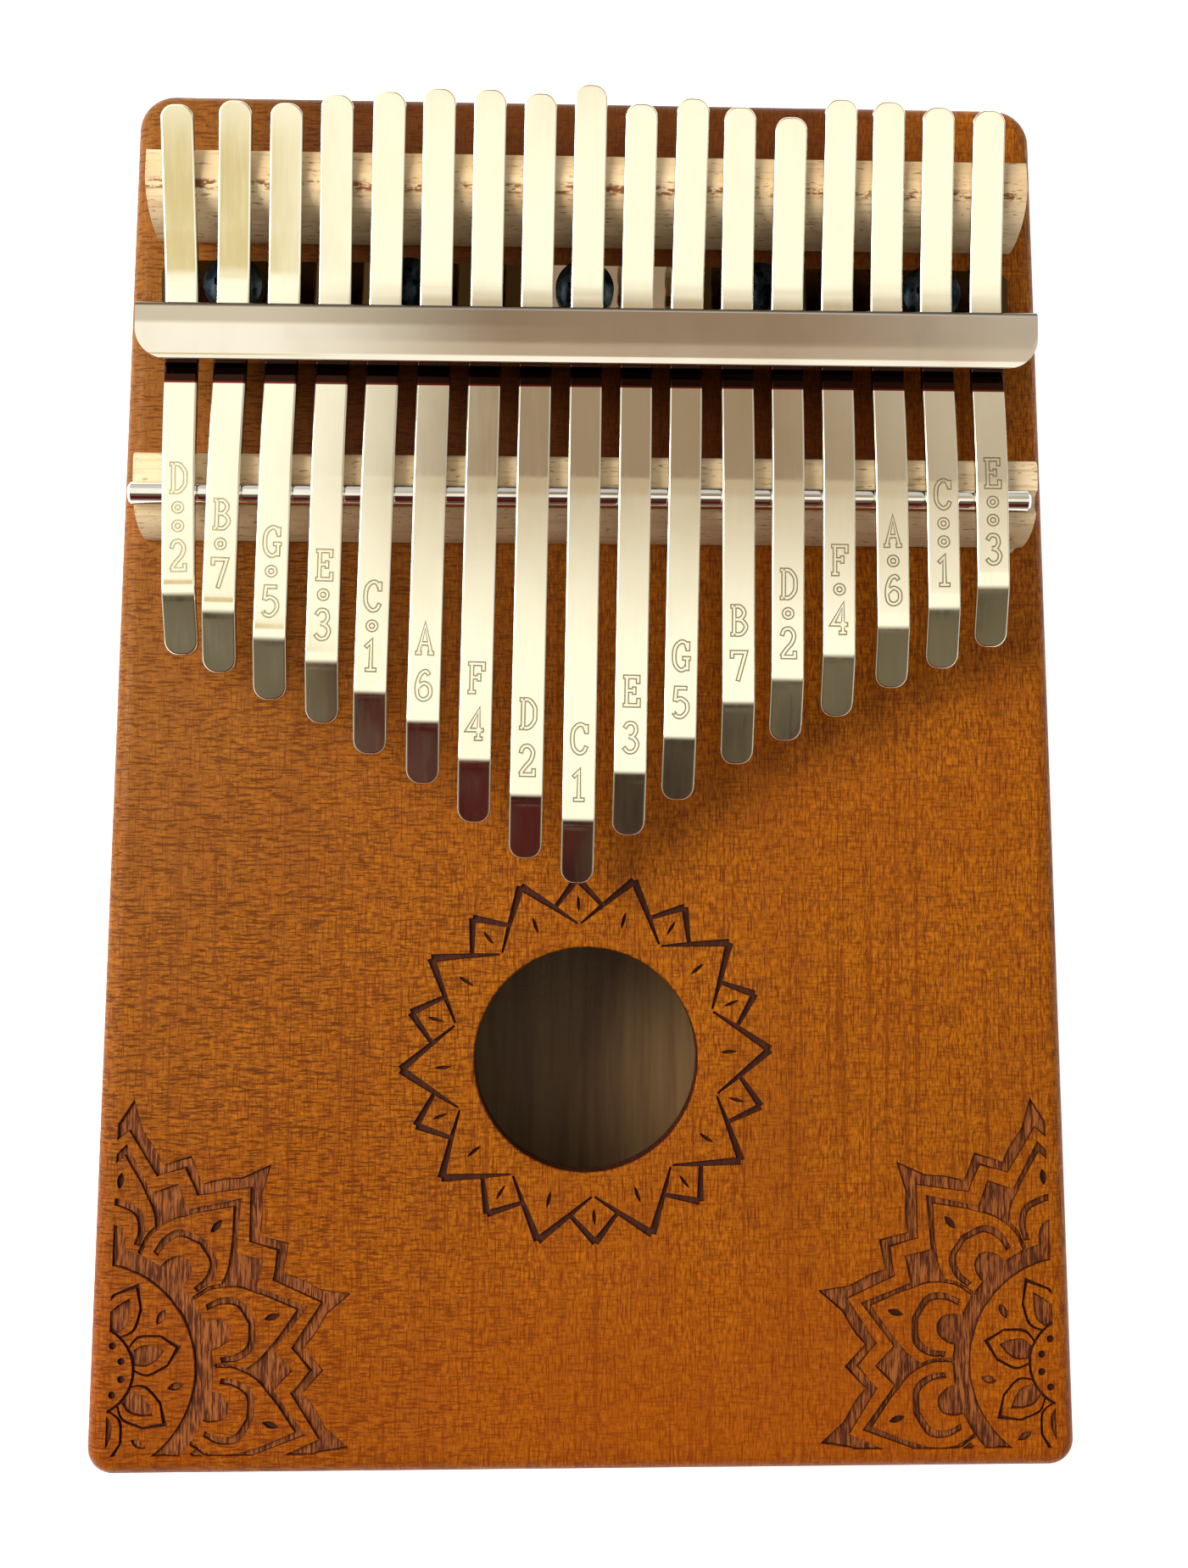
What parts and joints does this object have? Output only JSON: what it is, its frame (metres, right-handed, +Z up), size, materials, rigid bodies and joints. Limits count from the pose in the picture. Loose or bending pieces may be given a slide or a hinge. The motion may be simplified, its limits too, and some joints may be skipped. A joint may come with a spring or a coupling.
{
  "type": "thumb piano",
  "caption": "Hollow wooden thumb piano: spring-steel tines clamped over two bridges above a round sound hole, held in both hands and plucked with the thumbs.",
  "frame": {"origin": "middle of the body's underside, which lies on a table when the soundboard faces up", "axes": "+Y from the playing end with the sound hole to the head with the bridges, +Z up through the soundboard, +X to the right as seen from above"},
  "size_m": [0.1318, 0.186, 0.0455],
  "materials": {
    "mahogany": "orange-brown mahogany under a thin satin lacquer",
    "pale_bridge_wood": "bare beech, sanded",
    "rod_steel": "drawn steel rod, bright",
    "bracket_chrome": "nickel plated, polished",
    "tine_steel": "nickel-plated spring steel, polished",
    "screw_black": "blue-black zinc plating"
  },
  "bodies": {
    "body": {"soundboard": "mahogany", "back_plate": "mahogany", "head_block": "mahogany", "tail_rail": "mahogany", "side_rail_left": "mahogany", "side_rail_right": "mahogany", "rear_bridge": "pale_bridge_wood", "front_bridge": "pale_bridge_wood", "bridge_rod": "rod_steel", "pressure_bracket": "bracket_chrome", "bracket_screw_1": "screw_black", "bracket_screw_2": "screw_black", "bracket_screw_3": "screw_black", "bracket_screw_4": "screw_black", "bracket_screw_5": "screw_black"},
    "key_d6": {"tine_d6": "tine_steel"},
    "key_b5": {"tine_b5": "tine_steel"},
    "key_g5": {"tine_g5": "tine_steel"},
    "key_e5": {"tine_e5": "tine_steel"},
    "key_c5": {"tine_c5": "tine_steel"},
    "key_a4": {"tine_a4": "tine_steel"},
    "key_f4": {"tine_f4": "tine_steel"},
    "key_d4": {"tine_d4": "tine_steel"},
    "key_c4": {"tine_c4": "tine_steel"},
    "key_e4": {"tine_e4": "tine_steel"},
    "key_g4": {"tine_g4": "tine_steel"},
    "key_b4": {"tine_b4": "tine_steel"},
    "key_d5": {"tine_d5": "tine_steel"},
    "key_f5": {"tine_f5": "tine_steel"},
    "key_a5": {"tine_a5": "tine_steel"},
    "key_c6": {"tine_c6": "tine_steel"},
    "key_e6": {"tine_e6": "tine_steel"}
  },
  "joints": [
    {"name": "pluck_d6", "type": "hinge", "parent": "body", "child": "key_d6", "pos_m": [0, 0.03575, 0.0418], "axis": [1, 0, 0], "range_deg": [0, 1.5], "stiffness_Nm_per_rad": 13.3},
    {"name": "pluck_b5", "type": "hinge", "parent": "body", "child": "key_b5", "pos_m": [0, 0.03575, 0.0418], "axis": [1, 0, 0], "range_deg": [0, 1.5], "stiffness_Nm_per_rad": 12},
    {"name": "pluck_g5", "type": "hinge", "parent": "body", "child": "key_g5", "pos_m": [0, 0.03575, 0.0418], "axis": [1, 0, 0], "range_deg": [0, 1.5], "stiffness_Nm_per_rad": 10.5},
    {"name": "pluck_e5", "type": "hinge", "parent": "body", "child": "key_e5", "pos_m": [0, 0.03575, 0.0418], "axis": [1, 0, 0], "range_deg": [0, 1.5], "stiffness_Nm_per_rad": 9.4},
    {"name": "pluck_c5", "type": "hinge", "parent": "body", "child": "key_c5", "pos_m": [0, 0.03575, 0.0418], "axis": [1, 0, 0], "range_deg": [0, 1.5], "stiffness_Nm_per_rad": 8.3},
    {"name": "pluck_a4", "type": "hinge", "parent": "body", "child": "key_a4", "pos_m": [0, 0.03575, 0.0418], "axis": [1, 0, 0], "range_deg": [0, 1.5], "stiffness_Nm_per_rad": 7.5},
    {"name": "pluck_f4", "type": "hinge", "parent": "body", "child": "key_f4", "pos_m": [0, 0.03575, 0.0418], "axis": [1, 0, 0], "range_deg": [0, 1.5], "stiffness_Nm_per_rad": 6.6},
    {"name": "pluck_d4", "type": "hinge", "parent": "body", "child": "key_d4", "pos_m": [0, 0.03575, 0.0418], "axis": [1, 0, 0], "range_deg": [0, 1.5], "stiffness_Nm_per_rad": 6},
    {"name": "pluck_c4", "type": "hinge", "parent": "body", "child": "key_c4", "pos_m": [0, 0.03575, 0.0418], "axis": [1, 0, 0], "range_deg": [0, 1.5], "stiffness_Nm_per_rad": 5.6},
    {"name": "pluck_e4", "type": "hinge", "parent": "body", "child": "key_e4", "pos_m": [0, 0.03575, 0.0418], "axis": [1, 0, 0], "range_deg": [0, 1.5], "stiffness_Nm_per_rad": 6.4},
    {"name": "pluck_g4", "type": "hinge", "parent": "body", "child": "key_g4", "pos_m": [0, 0.03575, 0.0418], "axis": [1, 0, 0], "range_deg": [0, 1.5], "stiffness_Nm_per_rad": 7.1},
    {"name": "pluck_b4", "type": "hinge", "parent": "body", "child": "key_b4", "pos_m": [0, 0.03575, 0.0418], "axis": [1, 0, 0], "range_deg": [0, 1.5], "stiffness_Nm_per_rad": 8.1},
    {"name": "pluck_d5", "type": "hinge", "parent": "body", "child": "key_d5", "pos_m": [0, 0.03575, 0.0418], "axis": [1, 0, 0], "range_deg": [0, 1.5], "stiffness_Nm_per_rad": 8.8},
    {"name": "pluck_f5", "type": "hinge", "parent": "body", "child": "key_f5", "pos_m": [0, 0.03575, 0.0418], "axis": [1, 0, 0], "range_deg": [0, 1.5], "stiffness_Nm_per_rad": 9.8},
    {"name": "pluck_a5", "type": "hinge", "parent": "body", "child": "key_a5", "pos_m": [0, 0.03575, 0.0418], "axis": [1, 0, 0], "range_deg": [0, 1.5], "stiffness_Nm_per_rad": 11.3},
    {"name": "pluck_c6", "type": "hinge", "parent": "body", "child": "key_c6", "pos_m": [0, 0.03575, 0.0418], "axis": [1, 0, 0], "range_deg": [0, 1.5], "stiffness_Nm_per_rad": 12.6},
    {"name": "pluck_e6", "type": "hinge", "parent": "body", "child": "key_e6", "pos_m": [0, 0.03575, 0.0418], "axis": [1, 0, 0], "range_deg": [0, 1.5], "stiffness_Nm_per_rad": 14.5}
  ]
}
